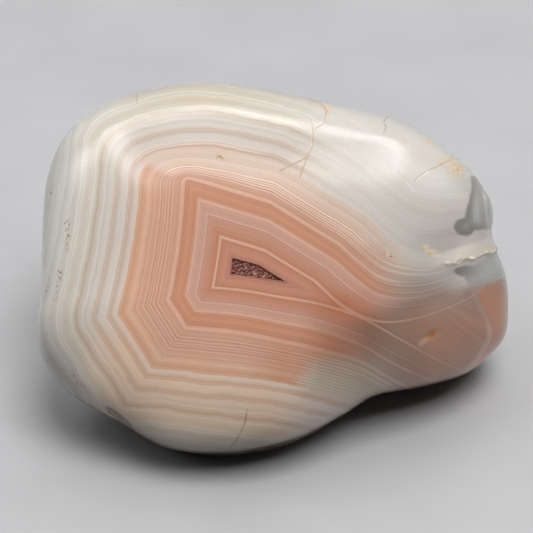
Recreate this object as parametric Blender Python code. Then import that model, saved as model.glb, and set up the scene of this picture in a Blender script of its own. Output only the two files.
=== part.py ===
"""A tumbled, polished banded agate: one rounded stone, and the crust of tiny quartz crystals in its pocket.

The shape is drawn in a face frame that leans back with the banded face: u runs to the right along the
face, v runs up the face, and w points straight out of it. Lengths are millimetres until MM is applied.
"""

import math

import bmesh
import bpy
import numpy as np
from mathutils import Vector

MM = 0.001

# How the stone stands: the banded face leans back by FACE_LEAN, and the flat under it is cut this far
# below the middle of the stone.
FACE_LEAN = math.radians(32.0)
REST_DROP = 17.9

# The part's origin, under the middle of its box: how far right of the face frame's middle it is, and how
# far behind it.
ORIGIN_RIGHT = 1.0
ORIGIN_BEHIND = -0.13

# Outline of the stone seen square on to its banded face, clockwise from the middle of the left side.
OUTLINE = [
    (-22.4, 0.7),
    (-22.2, 6.0),
    (-21.7, 9.4),
    (-20.4, 12.5),
    (-18.5, 14.6),
    (-15.4, 16.5),
    (-11.0, 17.8),
    (-6.2, 18.4),
    (-1.0, 17.8),
    (4.4, 16.7),
    (9.4, 15.5),
    (13.2, 14.3),
    (17.1, 12.0),
    (20.1, 9.8),
    (22.35, 7.0),
    (23.05, 4.9),
    (23.0, 3.7),
    (23.45, 1.9),
    (24.4, -0.5),
    (24.75, -3.7),
    (24.55, -7.0),
    (22.85, -9.2),
    (20.4, -11.0),
    (16.1, -12.2),
    (11.1, -13.0),
    (7.9, -14.8),
    (3.4, -17.1),
    (-1.5, -18.4),
    (-6.0, -18.6),
    (-10.2, -17.9),
    (-14.3, -15.6),
    (-19.4, -12.7),
    (-22.2, -9.4),
    (-22.85, -5.5),
    (-22.45, -2.6),
]

# Depth of the stone in front of and behind its rim, and how squarely the rim turns into each side
# (2 is an ellipse, more is squarer).
FRONT_DEPTH = 12.6
BACK_DEPTH = 13.4
FRONT_SQUARENESS = 2.75
BACK_SQUARENESS = 2.45

# The right end swings back from the face past BEND_START, and its underside further than its top.
BEND_START = 5.0
BEND_SOFTNESS = 4.0
BEND_SLOPE = 0.36
TWIST_SLOPE = 0.022

# Broad hollows and swellings of the banded side and of the back: (u, v, radius, height).
FRONT_SWELLINGS = [
    (17.5, 1.0, 4.6, -0.9),
    (14.0, 9.0, 6.5, 0.5),
    (-10.0, -9.0, 8.0, 0.35),
    (1.0, -13.0, 5.0, -0.3),
]
BACK_SWELLINGS = [
    (-3.0, -12.5, 8.0, 2.0),
    (14.0, -6.0, 7.0, 0.8),
    (-8.0, 7.0, 8.0, -0.7),
]

# A thin lip of pale crust crosses the right end: its crest, how far it stands up, and the scoop above it
# and the step down below it.
LIP_CREST = [(15.6, -0.2), (17.75, 0.2), (19.35, 0.6), (21.1, 1.0), (22.8, 1.55), (24.6, 2.3)]
LIP_HEIGHT = 0.2
LIP_WIDTH = 0.65
LIP_MARGIN = 0.1
SCOOP_DEPTH = 0.42
SCOOP_WIDTH = 1.5
SCOOP_END = 4.2
STEP_DEPTH = 0.3
STEP_FALL = 0.8
STEP_WIDTH = 1.0
STEP_END = 4.08
LIP_FADE_START = 16.0
LIP_FADE_END = 20.5

# Small pits of the banded side: (u, v, half length, half width, angle, depth).
PITS = [
    (16.2, -6.75, 0.75, 0.38, math.radians(27.0), 0.35),
    (-15.1, -14.45, 1.0, 0.35, math.radians(-36.0), 0.4),
    (-14.1, -15.2, 0.8, 0.3, math.radians(-36.0), 0.25),
]

# The pocket: a wedge-shaped hole with slightly drawn-in walls, and the crust that fills its floor.
POCKET_CORNERS = [(-3.28, 0.82), (-3.42, -0.75), (1.85, -1.47), (-0.75, 0.16)]
POCKET_DEPTH = 1.5
POCKET_DRAFT = 0.94
CUTTER_OVERSHOOT = 1.5
CRUST_GAP = 0.1

# The crust's six-sided points: distance apart, height, and how unevenly they stand, in parts of those two.
CRYSTAL_SPACING = 0.36
CRYSTAL_HEIGHT = 0.22
CRYSTAL_SIDES = 6
CRYSTAL_LEAN = 0.2
TIP_UNEVENNESS = 0.35
FOOT_UNEVENNESS = 0.16
CRUST_TOP_DEPTH = 0.27
SEED = 11

BANDED_COLOUR = (0.62, 0.40, 0.30)
BANDED_ROUGHNESS = 0.15
DRUZY_COLOUR = (0.20, 0.12, 0.10)
DRUZY_ROUGHNESS = 0.25

# How the unit sphere is stretched before its points are moved out to the stone's surface, and the heights
# out of its middle plane over which each side's relief sets in.
SPHERE_STRETCH = (20.0, 17.0, 13.0)
FRONT_RELIEF_FROM = -2.0
FRONT_RELIEF_FULL = 3.5
BACK_RELIEF_FROM = 2.0
BACK_RELIEF_FULL = -6.0
AIM_PASSES = 30

# Mesh fineness: the sphere that the stone is drawn from, and where its banded side is divided further,
# as (path, reach, passes).
SPHERE_DIVISIONS = 5
LOWEST_FINE_HEAD = -0.3
FINE_ZONES = [
    (LIP_CREST, 2.6, 1),
    (LIP_CREST, 1.7, 1),
    ([(15.6, -7.0), (16.8, -6.4)], 1.0, 2),
    ([(-15.8, -13.9), (-13.6, -15.5)], 0.9, 1),
]


def smooth_step(low, high, value):
    t = np.clip((value - low) / (high - low), 0.0, 1.0)
    return t * t * (3.0 - 2.0 * t)


def closed_curve(points, per_span=24):
    """A closed Catmull-Rom curve through the points."""
    points = np.array(points)
    before = np.roll(points, 1, axis=0)
    after = np.roll(points, -1, axis=0)
    beyond = np.roll(points, -2, axis=0)
    spans = []
    for t in np.arange(per_span) / per_span:
        spans.append(
            0.5
            * (
                2.0 * points
                + (after - before) * t
                + (2.0 * before - 5.0 * points + 4.0 * after - beyond) * t**2
                + (3.0 * points - before - 3.0 * after + beyond) * t**3
            )
        )
    return np.stack(spans, axis=1).reshape(-1, 2)


def outline_radius():
    """Angles round the face, and the outline's distance from the middle at each."""
    curve = closed_curve(OUTLINE)
    angles = np.arctan2(curve[:, 1], curve[:, 0])
    order = np.argsort(angles)
    return angles[order], np.hypot(curve[:, 0], curve[:, 1])[order]


OUTLINE_ANGLES, OUTLINE_RADII = outline_radius()


def distance_to_path(u, v, path):
    """Distance from the path, and the signed height above it."""
    best = np.full(u.shape, np.inf)
    above = np.zeros(u.shape)
    for (u0, v0), (u1, v1) in zip(path[:-1], path[1:]):
        du, dv = u1 - u0, v1 - v0
        along = np.clip(((u - u0) * du + (v - v0) * dv) / (du * du + dv * dv), 0.0, 1.0)
        off_u = u - (u0 + along * du)
        off_v = v - (v0 + along * dv)
        distance = np.hypot(off_u, off_v)
        side = np.sign(du * off_v - dv * off_u)
        closer = distance < best
        best = np.where(closer, distance, best)
        above = np.where(closer, distance * side, above)
    return best, above


def lip_relief(u, v):
    """The crust lip's crest, with the scoop above it and the step below it."""
    _, above = distance_to_path(u, v, LIP_CREST)
    crest = LIP_HEIGHT * np.exp(-((above / LIP_WIDTH) ** 2))
    scoop = smooth_step(LIP_MARGIN, SCOOP_WIDTH, above) * smooth_step(SCOOP_END, SCOOP_WIDTH, above)
    step = smooth_step(LIP_MARGIN, -STEP_FALL, above) * smooth_step(-STEP_END, -STEP_WIDTH, above)
    relief = crest - SCOOP_DEPTH * scoop - STEP_DEPTH * step
    return relief * smooth_step(LIP_FADE_START, LIP_FADE_END, u)


def pit_relief(u, v):
    relief = np.zeros(u.shape)
    for pit_u, pit_v, half_length, half_width, angle, depth in PITS:
        along = (u - pit_u) * math.cos(angle) + (v - pit_v) * math.sin(angle)
        across = (v - pit_v) * math.cos(angle) - (u - pit_u) * math.sin(angle)
        relief -= depth * np.exp(-((along / half_length) ** 2) - (across / half_width) ** 2)
    return relief


def swelling_relief(u, v, swellings):
    relief = np.zeros(u.shape)
    for centre_u, centre_v, radius, height in swellings:
        relief += height * np.exp(-((u - centre_u) ** 2 + (v - centre_v) ** 2) / radius**2)
    return relief


def bend_back(u, v):
    """How far the stone's middle plane lies behind the face plane."""
    past = u - BEND_START
    reach = 0.5 * (np.sqrt(past**2 + BEND_SOFTNESS**2) + past)
    return -reach * (BEND_SLOPE - TWIST_SLOPE * v)


def stone_surface(directions):
    """Face-frame points of the stone's surface, one for each direction from its middle."""
    toward = directions * np.array(SPHERE_STRETCH)
    u, v, w = toward.T
    flat = np.maximum(np.hypot(u, v), 1e-9)
    edge = np.interp(np.arctan2(v, u), OUTLINE_ANGLES, OUTLINE_RADII, period=2.0 * math.pi)
    depth = np.where(w > 0.0, FRONT_DEPTH, BACK_DEPTH)
    power = np.where(w > 0.0, FRONT_SQUARENESS, BACK_SQUARENESS)
    rim_part = (flat / edge) ** power
    side_part = (np.abs(w) / depth) ** power
    scale = (rim_part + side_part) ** (-1.0 / power)
    points = toward * scale[:, None]

    u, v, w = points.T
    flat = np.maximum(np.hypot(u, v), 1e-9)
    rim_slope = (flat / edge) ** (power - 1.0) / edge
    side_slope = np.sign(w) * (np.abs(w) / depth) ** (power - 1.0) / depth
    outward = np.stack([u / flat * rim_slope, v / flat * rim_slope, side_slope], axis=1)
    outward /= np.linalg.norm(outward, axis=1)[:, None]
    front = smooth_step(FRONT_RELIEF_FROM, FRONT_RELIEF_FULL, w)
    back = smooth_step(BACK_RELIEF_FROM, BACK_RELIEF_FULL, w)
    relief = (swelling_relief(u, v, FRONT_SWELLINGS) + lip_relief(u, v) + pit_relief(u, v)) * front
    relief += swelling_relief(u, v, BACK_SWELLINGS) * back
    points = points + outward * relief[:, None]
    points[:, 2] += bend_back(points[:, 0], points[:, 1])
    return points


def to_world(points):
    """Face-frame millimetres to upright metres, with the rest flat at height 0."""
    u, v, w = np.asarray(points, dtype=float).T
    sine, cosine = math.sin(FACE_LEAN), math.cos(FACE_LEAN)
    x = u - ORIGIN_RIGHT
    y = v * sine - w * cosine - ORIGIN_BEHIND
    z = v * cosine + w * sine + REST_DROP
    return np.stack([x, y, z], axis=1) * MM


def material(name, colour, roughness):
    made = bpy.data.materials.new(name)
    made.use_nodes = True
    shader = made.node_tree.nodes["Principled BSDF"]
    shader.inputs["Base Color"].default_value = (*colour, 1.0)
    shader.inputs["Roughness"].default_value = roughness
    shader.inputs["Metallic"].default_value = 0.0
    return made


def object_from(name, bm, coat):
    mesh = bpy.data.meshes.new(name)
    bm.to_mesh(mesh)
    bm.free()
    mesh.shade_smooth()
    mesh.materials.append(coat)
    made = bpy.data.objects.new(name, mesh)
    bpy.context.scene.collection.objects.link(made)
    return made


def fine_sphere():
    """A unit sphere of triangles, divided further where the stone has small features."""
    bm = bmesh.new()
    bmesh.ops.create_icosphere(bm, subdivisions=SPHERE_DIVISIONS, radius=1.0)
    for path, reach, passes in FINE_ZONES:
        for _ in range(passes):
            bm.verts.ensure_lookup_table()
            places = stone_surface(np.array([vert.co.normalized()[:] for vert in bm.verts]))
            near = distance_to_path(places[:, 0], places[:, 1], path)[0] < reach
            near &= np.array([vert.co.z > LOWEST_FINE_HEAD for vert in bm.verts])
            edges = [e for e in bm.edges if near[e.verts[0].index] or near[e.verts[1].index]]
            bmesh.ops.subdivide_edges(bm, edges=edges, cuts=1)
            bmesh.ops.triangulate(bm, faces=bm.faces[:])
            for vert in bm.verts:
                vert.co.normalize()
    return bm


def make_stone(coat):
    bm = fine_sphere()
    directions = np.array([vert.co.normalized()[:] for vert in bm.verts])
    places = to_world(stone_surface(directions))
    places[:, 2] = np.maximum(places[:, 2], 0.0)
    for vert, place in zip(bm.verts, places):
        vert.co = Vector(place)
    bmesh.ops.recalc_face_normals(bm, faces=bm.faces[:])
    return object_from("agate_stone", bm, coat)


def face_height(u, v):
    """How far the banded face stands out at (u, v), found by closing in on the direction that meets it."""
    stretch_u, stretch_v, _ = SPHERE_STRETCH
    aim = np.array([[u / stretch_u, v / stretch_v, 1.0]])
    for _ in range(AIM_PASSES):
        place = stone_surface(aim / np.linalg.norm(aim))[0]
        aim[0, 0] += (u - place[0]) / stretch_u
        aim[0, 1] += (v - place[1]) / stretch_v
    return place[2]


def drawn_in(corners, inset):
    """The corners of a convex ring, anticlockwise, once each of its sides has moved inward by the inset."""
    starts = np.array(corners)
    sides = np.roll(starts, -1, axis=0) - starts
    sides /= np.linalg.norm(sides, axis=1)[:, None]
    inward = np.stack([-sides[:, 1], sides[:, 0]], axis=1)
    before = np.roll(inward, 1, axis=0)
    shared = 1.0 + (before * inward).sum(axis=1)
    return starts + (before + inward) * (inset / shared)[:, None]


def pocket_prism(bottom_w, top_w, inset, coat, name):
    """A plug of the pocket's shape along w, its sides drawn in by the inset and its foot by the draft."""
    ring = drawn_in(POCKET_CORNERS, inset)
    middle = ring.mean(axis=0)
    foot = middle + (ring - middle) * POCKET_DRAFT
    bm = bmesh.new()
    upper = to_world([(u, v, top_w) for u, v in ring])
    lower = to_world([(u, v, bottom_w) for u, v in foot])
    top_verts = [bm.verts.new(place) for place in upper]
    low_verts = [bm.verts.new(place) for place in lower]
    bm.faces.new(top_verts)
    bm.faces.new(low_verts[::-1])
    for i in range(len(top_verts)):
        j = (i + 1) % len(top_verts)
        bm.faces.new([top_verts[i], low_verts[i], low_verts[j], top_verts[j]])
    bmesh.ops.recalc_face_normals(bm, faces=bm.faces[:])
    return object_from(name, bm, coat)


def hide_helper(helper):
    helper.hide_render = True
    helper.display_type = "WIRE"


def add_boolean(target, helper, operation):
    cut = target.modifiers.new(operation.lower(), "BOOLEAN")
    cut.operation = operation
    cut.solver = "EXACT"
    cut.object = helper


def crystal_bed(face_w, coat):
    """A slab whose top is a honeycomb of six-sided crystal points, wider than the pocket."""
    dice = np.random.default_rng(SEED)
    corners = np.array(POCKET_CORNERS)
    low = corners.min(axis=0) - 2.0 * CRYSTAL_SPACING
    high = corners.max(axis=0) + 2.0 * CRYSTAL_SPACING
    bed_w = face_w - CRUST_TOP_DEPTH
    base_w = face_w - POCKET_DEPTH + CRUST_GAP
    row_step = CRYSTAL_SPACING * math.sqrt(3.0) / 2.0
    columns = int((high[0] - low[0]) / CRYSTAL_SPACING) + 1
    rows = int((high[1] - low[1]) / row_step) + 1
    corner_reach = CRYSTAL_SPACING / math.sqrt(3.0)
    bm = bmesh.new()
    shared = {}

    def valley(u, v):
        """The corner where neighbouring crystals meet: one vertex for all of them."""
        key = (round(u / CRYSTAL_SPACING * CRYSTAL_SIDES), round(v / row_step * CRYSTAL_SIDES))
        if key not in shared:
            jitter = dice.uniform(-FOOT_UNEVENNESS, FOOT_UNEVENNESS, 3) * CRYSTAL_SPACING
            place = (u + jitter[0], v + jitter[1], bed_w - CRYSTAL_HEIGHT + jitter[2])
            shared[key] = bm.verts.new(to_world([place])[0])
        return shared[key]

    for row in range(rows):
        for column in range(columns):
            u = low[0] + (column + 0.5 * (row % 2)) * CRYSTAL_SPACING
            v = low[1] + row * row_step
            lean = dice.uniform(-CRYSTAL_LEAN, CRYSTAL_LEAN, 2) * CRYSTAL_SPACING
            rise = dice.uniform(-TIP_UNEVENNESS, TIP_UNEVENNESS) * CRYSTAL_HEIGHT
            tip = (u + lean[0], v + lean[1], bed_w + rise)
            apex = bm.verts.new(to_world([tip])[0])
            ring = []
            for k in range(CRYSTAL_SIDES):
                angle = (k + 0.5) * 2.0 * math.pi / CRYSTAL_SIDES
                ring.append(valley(u + corner_reach * math.cos(angle), v + corner_reach * math.sin(angle)))
            for k in range(CRYSTAL_SIDES):
                bm.faces.new([apex, ring[k], ring[(k + 1) % CRYSTAL_SIDES]])
    rim = [edge for edge in bm.edges if edge.is_boundary]
    skirt = bmesh.ops.extrude_edge_only(bm, edges=rim)["geom"]
    skirt_verts = [item for item in skirt if isinstance(item, bmesh.types.BMVert)]
    face_to_world = to_world([(0.0, 0.0, 0.0), (0.0, 0.0, 1.0)])
    out = Vector(face_to_world[1] - face_to_world[0])
    origin = Vector(face_to_world[0])
    for vert in skirt_verts:
        height = (vert.co - origin).dot(out) / out.length_squared
        vert.co += out * (base_w - height)
    skirt_edges = [item for item in skirt if isinstance(item, bmesh.types.BMEdge)]
    bmesh.ops.contextual_create(bm, geom=[e for e in skirt_edges if e.is_boundary])
    bmesh.ops.recalc_face_normals(bm, faces=bm.faces[:])
    made = object_from("druzy_crust", bm, coat)
    made.data.shade_flat()
    return made


def main():
    for leftover in list(bpy.data.objects):
        bpy.data.objects.remove(leftover)
    banded = material("banded_agate", BANDED_COLOUR, BANDED_ROUGHNESS)
    druzy = material("druzy_quartz", DRUZY_COLOUR, DRUZY_ROUGHNESS)
    face_w = face_height(*np.mean(POCKET_CORNERS, axis=0))

    stone = make_stone(banded)
    pocket = pocket_prism(face_w - POCKET_DEPTH, face_w + CUTTER_OVERSHOOT, 0.0, banded, "pocket_cutter")
    add_boolean(stone, pocket, "DIFFERENCE")
    hide_helper(pocket)

    crust = crystal_bed(face_w, druzy)
    plug_foot = face_w - POCKET_DEPTH - CUTTER_OVERSHOOT
    plug = pocket_prism(plug_foot, face_w + CUTTER_OVERSHOOT, CRUST_GAP, druzy, "crust_plug")
    add_boolean(crust, plug, "INTERSECT")
    hide_helper(plug)


main()
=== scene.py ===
"""Looks of the banded agate: a fine mesh of the stone with its bands, patches and cracks, the druzy crystals
in its pocket, and a plain studio. The stone's shape repeats part.py's, at a finer mesh. Lengths are
millimetres in the face frame (u right, v up the banded face, w out of it) until MM is applied."""

import math

import bmesh
import bpy
import numpy as np
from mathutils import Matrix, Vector


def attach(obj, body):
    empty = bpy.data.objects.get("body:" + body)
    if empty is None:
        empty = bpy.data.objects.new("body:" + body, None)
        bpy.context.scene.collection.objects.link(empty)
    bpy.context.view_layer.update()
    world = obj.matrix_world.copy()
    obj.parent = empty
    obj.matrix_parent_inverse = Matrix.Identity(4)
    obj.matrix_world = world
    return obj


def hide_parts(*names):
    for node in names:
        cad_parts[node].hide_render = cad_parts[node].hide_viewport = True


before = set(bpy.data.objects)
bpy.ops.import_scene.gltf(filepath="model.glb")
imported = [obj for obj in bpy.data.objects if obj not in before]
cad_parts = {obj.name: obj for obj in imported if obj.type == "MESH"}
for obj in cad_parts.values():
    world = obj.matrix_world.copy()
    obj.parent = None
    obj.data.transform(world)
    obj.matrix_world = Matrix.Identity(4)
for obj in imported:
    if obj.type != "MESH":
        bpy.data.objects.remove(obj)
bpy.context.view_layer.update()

MM = 0.001

# ---- shape of the stone, as in part.py
FACE_LEAN = math.radians(32)
REST_DROP = 17.9
ORIGIN_RIGHT = 1
ORIGIN_BEHIND = -0.13

OUTLINE = [
    (-22.4, 0.7), (-22.2, 6), (-21.7, 9.4), (-20.4, 12.5), (-18.5, 14.6), (-15.4, 16.5), (-11, 17.8),
    (-6.2, 18.4), (-1, 17.8), (4.4, 16.7), (9.4, 15.5), (13.2, 14.3), (17.1, 12), (20.1, 9.8),
    (22.35, 7), (23.05, 4.9), (23, 3.7), (23.45, 1.9), (24.4, -0.5), (24.75, -3.7), (24.55, -7),
    (22.85, -9.2), (20.4, -11), (16.1, -12.2), (11.1, -13), (7.9, -14.8), (3.4, -17.1), (-1.5, -18.4),
    (-6, -18.6), (-10.2, -17.9), (-14.3, -15.6), (-19.4, -12.7), (-22.2, -9.4), (-22.85, -5.5),
    (-22.45, -2.6),
]
FRONT_DEPTH = 12.6
BACK_DEPTH = 13.4
FRONT_SQUARENESS = 2.75
BACK_SQUARENESS = 2.45
BEND_START = 5
BEND_SOFTNESS = 4
BEND_SLOPE = 0.36
TWIST_SLOPE = 0.022
FRONT_SWELLINGS = [(17.5, 1, 4.6, -0.9), (14, 9, 6.5, 0.5), (-10, -9, 8, 0.35), (1, -13, 5, -0.3)]
BACK_SWELLINGS = [(-3, -12.5, 8, 2), (14, -6, 7, 0.8), (-8, 7, 8, -0.7)]
LIP_CREST = [(15.6, -0.2), (17.75, 0.2), (19.35, 0.6), (21.1, 1), (22.8, 1.55), (24.6, 2.3)]
LIP_HEIGHT = 0.2
LIP_WIDTH = 0.4
# How the lip's broken edge wanders: (height, radians per millimetre, phase).
LIP_WAVES = [(0.1, 3.1, 0), (0.04, 7.3, 1)]
LIP_MARGIN = 0.1
SCOOP_DEPTH = 0.42
SCOOP_WIDTH = 1.5
SCOOP_END = 4.2
STEP_DEPTH = 0.3
STEP_FALL = 0.35
STEP_WIDTH = 1
STEP_END = 4.08
LIP_FADE = (16, 20.5)
PITS = [
    (16.2, -6.75, 0.75, 0.38, math.radians(27), 0.35),
    (-15.1, -14.45, 1, 0.35, math.radians(-36), 0.4),
    (-14.1, -15.2, 0.8, 0.3, math.radians(-36), 0.25),
]
POCKET_CORNERS = [(-3.28, 0.82), (-3.42, -0.75), (1.85, -1.47), (-0.75, 0.16)]
POCKET_DEPTH = 1.3
POCKET_WALL = 0.14

# ---- fine features of the skin
# Hairline cracks, as paths on the banded side.
CRACKS = [
    [(4.4, 14.4), (4.5, 12.9), (4.4, 11.6), (3.9, 10.5), (1.3, 9.2)],
    [(3.9, 10.5), (3.2, 8.6)],
    [(4.8, 13.4), (5.6, 14.1), (5.9, 15.2), (5.4, 16.2), (4.4, 16.5)],
    [(11.9, 14.7), (11.5, 14.2), (11.7, 13.6), (11.4, 13)],
    [(18.2, 10.5), (15.5, 9.2), (14.4, 8.4)],
    [(-1.9, -13.9), (-2, -14.8), (-2.3, -15.8), (-2.9, -17), (-3.6, -18), (-4.3, -18.6)],
    [(-12.85, 17.1), (-12.8, 16.6), (-12.7, 16.1)],
]
WHITE_HAIR = [(13.35, 8.95), (14.1, 8.25), (14.85, 7.45)]
CRACK_DEPTH = 0.035
CRACK_WIDTH = 0.07

CURVE_STEPS = 24
SPHERE_DIVISIONS = 7
# The sphere is stretched so that its triangles come out even on the stone. Relief comes in over these
# heights above the middle plane, in front and behind.
SPHERE_STRETCH = (20, 17, 13)
FRONT_RANGE = (-2, 3.5)
BACK_RANGE = (2, -6)


def smooth_step(low, high, value):
    t = np.clip((value - low) / (high - low), 0, 1)
    return t * t * (3 - 2 * t)


def catmull_rom(before, start, end, beyond, t):
    """The curve from start (t 0) to end (t 1), shaped by the points on either side."""
    square = 2 * before - 5 * start + 4 * end - beyond
    cube = 3 * start - before - 3 * end + beyond
    return 0.5 * (2 * start + (end - before) * t + square * t**2 + cube * t**3)


def closed_curve(points):
    points = np.array(points)
    around = [np.roll(points, -k, axis=0) for k in (-1, 0, 1, 2)]
    spans = [catmull_rom(*around, t) for t in np.arange(CURVE_STEPS) / CURVE_STEPS]
    return np.stack(spans, axis=1).reshape(-1, 2)


def outline_radius():
    """Angles round the face, and the outline's distance from the middle at each."""
    curve = closed_curve(OUTLINE)
    angles = np.arctan2(curve[:, 1], curve[:, 0])
    order = np.argsort(angles)
    return angles[order], np.hypot(curve[:, 0], curve[:, 1])[order]


OUTLINE_ANGLES, OUTLINE_RADII = outline_radius()


def distance_to_path(u, v, path):
    """Distance from the path, and the signed height above it."""
    best = np.full(u.shape, np.inf)
    above = np.zeros(u.shape)
    for (u0, v0), (u1, v1) in zip(path[:-1], path[1:]):
        du, dv = u1 - u0, v1 - v0
        along = np.clip(((u - u0) * du + (v - v0) * dv) / (du * du + dv * dv), 0, 1)
        off_u = u - (u0 + along * du)
        off_v = v - (v0 + along * dv)
        distance = np.hypot(off_u, off_v)
        side = np.sign(du * off_v - dv * off_u)
        closer = distance < best
        best = np.where(closer, distance, best)
        above = np.where(closer, distance * side, above)
    return best, above


def distance_inside(u, v, corners):
    """Distance inside a closed shape's edge, negative outside it."""
    ring = list(corners) + [corners[0]]
    away, _ = distance_to_path(u, v, ring)
    inside = np.zeros(u.shape, dtype=bool)
    for (u0, v0), (u1, v1) in zip(ring[:-1], ring[1:]):
        crosses = (v0 > v) != (v1 > v)
        slope = (u1 - u0) / (v1 - v0) if v1 != v0 else 0
        inside ^= crosses & (u < u0 + (v - v0) * slope)
    return np.where(inside, away, -away)


def lip_height_above(u, v):
    """Signed distance above the lip's crest, and above its broken edge."""
    _, above = distance_to_path(u, v, LIP_CREST)
    return above, above + sum(height * np.sin(rate * u + phase) for height, rate, phase in LIP_WAVES)


def lip_relief(u, v):
    """The lip's crest, with a scoop above it and a step below."""
    above, broken = lip_height_above(u, v)
    crest = LIP_HEIGHT * np.exp(-((broken / LIP_WIDTH) ** 2))
    scoop = smooth_step(LIP_MARGIN, SCOOP_WIDTH, above) * smooth_step(SCOOP_END, SCOOP_WIDTH, above)
    step = smooth_step(LIP_MARGIN, -STEP_FALL, broken) * smooth_step(-STEP_END, -STEP_WIDTH, broken)
    relief = crest - SCOOP_DEPTH * scoop - STEP_DEPTH * step
    return relief * smooth_step(*LIP_FADE, u)


def pit_relief(u, v):
    relief = np.zeros(u.shape)
    for pit_u, pit_v, half_length, half_width, angle, depth in PITS:
        along = (u - pit_u) * math.cos(angle) + (v - pit_v) * math.sin(angle)
        across = (v - pit_v) * math.cos(angle) - (u - pit_u) * math.sin(angle)
        relief -= depth * np.exp(-((along / half_length) ** 2) - (across / half_width) ** 2)
    return relief


def nearest(x, y, paths):
    return np.min([distance_to_path(x, y, path)[0] for path in paths], axis=0)


def crack_relief(u, v):
    return -CRACK_DEPTH * np.exp(-((nearest(u, v, CRACKS) / CRACK_WIDTH) ** 2))


def swelling_relief(u, v, swellings):
    parts = [(height, ((u - at_u) ** 2 + (v - at_v) ** 2) / r**2) for at_u, at_v, r, height in swellings]
    return sum(height * np.exp(-part) for height, part in parts)


def bend_back(u, v):
    """How far the stone's middle plane lies behind the face plane."""
    past = u - BEND_START
    reach = 0.5 * (np.sqrt(past**2 + BEND_SOFTNESS**2) + past)
    return -reach * (BEND_SLOPE - TWIST_SLOPE * v)


def stone_surface(directions, fine=True):
    """Face-frame points of the stone's surface, one for each direction from its middle."""
    toward = directions * np.array(SPHERE_STRETCH)
    u, v, w = toward.T
    flat = np.maximum(np.hypot(u, v), 1e-9)
    edge = np.interp(np.arctan2(v, u), OUTLINE_ANGLES, OUTLINE_RADII, period=2 * math.pi)
    depth = np.where(w > 0, FRONT_DEPTH, BACK_DEPTH)
    power = np.where(w > 0, FRONT_SQUARENESS, BACK_SQUARENESS)
    rim_part = (flat / edge) ** power
    side_part = (np.abs(w) / depth) ** power
    scale = (rim_part + side_part) ** (-1 / power)
    points = toward * scale[:, None]

    u, v, w = points.T
    flat = np.maximum(np.hypot(u, v), 1e-9)
    rim_slope = (flat / edge) ** (power - 1) / edge
    side_slope = np.sign(w) * (np.abs(w) / depth) ** (power - 1) / depth
    outward = np.stack([u / flat * rim_slope, v / flat * rim_slope, side_slope], axis=1)
    outward /= np.linalg.norm(outward, axis=1)[:, None]
    front = smooth_step(*FRONT_RANGE, w)
    back = smooth_step(*BACK_RANGE, w)
    relief = swelling_relief(u, v, FRONT_SWELLINGS) + lip_relief(u, v) + pit_relief(u, v)
    if fine:
        relief += crack_relief(u, v)
    relief = relief * front + swelling_relief(u, v, BACK_SWELLINGS) * back
    points = points + outward * relief[:, None]
    points[:, 2] += bend_back(points[:, 0], points[:, 1])
    if fine:
        inside = distance_inside(points[:, 0], points[:, 1], POCKET_CORNERS)
        points[:, 2] -= POCKET_DEPTH * smooth_step(0, POCKET_WALL, inside) * front
    return points


def to_world(points):
    """Face-frame millimetres to upright metres, with the rest flat at height 0."""
    u, v, w = np.asarray(points, dtype=float).T
    sine, cosine = math.sin(FACE_LEAN), math.cos(FACE_LEAN)
    x = u - ORIGIN_RIGHT
    y = v * sine - w * cosine - ORIGIN_BEHIND
    z = v * cosine + w * sine + REST_DROP
    return np.stack([x, y, z], axis=1) * MM


# ---- bands
# A band's level is its distance outward, in millimetres, from the innermost white line. The pattern's own
# coordinates (x, y) spread a little with height above the face plane, as bands that open outward do.
BAND_SPREAD = 1 / 320

# Straight sets: how much of x and of y their distance takes, and the distances of some levels.
STRAIGHT_SETS = {
    "low_left": (-0.85, -0.53, [8.4, 10.08, 15.15, 22.8], [2.6, 4.4, 9.2, 16.5]),
    "top_a": (0.305, 1, [1.56, 4.7, 6.58, 8.55, 10.3], [0, 2.6, 4.4, 6.8, 8.6]),
    "top_b": (0.61, 1, [1.49, 4.79, 6.69, 8.79, 10.99, 16.4], [0, 2.6, 4.4, 6.8, 9.2, 14]),
    "top_c": (0.95, 1, [3.13, 7.18, 9.13, 11.73, 14.33], [0, 2.6, 4.4, 6.8, 9.2]),
    "outer_a": (0.12, 1, [6.45, 7.65, 9.05, 10.63, 11.73, 17.65], [2, 3.6, 6.5, 9, 9.8, 15.4]),
    "outer_b": (-0.34, 0.94, [9.6, 10.9, 12.1, 14.6, 20.8], [2.2, 3.9, 6.5, 9.8, 16.1]),
}
# The left set stands LEFT_EDGE out at height LEFT_TOP and leans and sags below. The tilt grows and the sag
# fades from some way out: (that far out, change per millimetre beyond it).
LEFT_EDGE = 4.62
LEFT_TOP = 2.65
LEFT_TILT = 0.12
LEFT_TILT_GROWTH = (9, 0.006)
LEFT_SAG = 0.008
LEFT_SAG_FADE = (14, 0.1)
LEAST_SAG_SHARE = 0.4
LEFT_PLACES = [0, 2.55, 4.15, 8.7, 17.5]
LEFT_LEVELS = [0, 2.6, 4.4, 9.2, 17.8]
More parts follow.
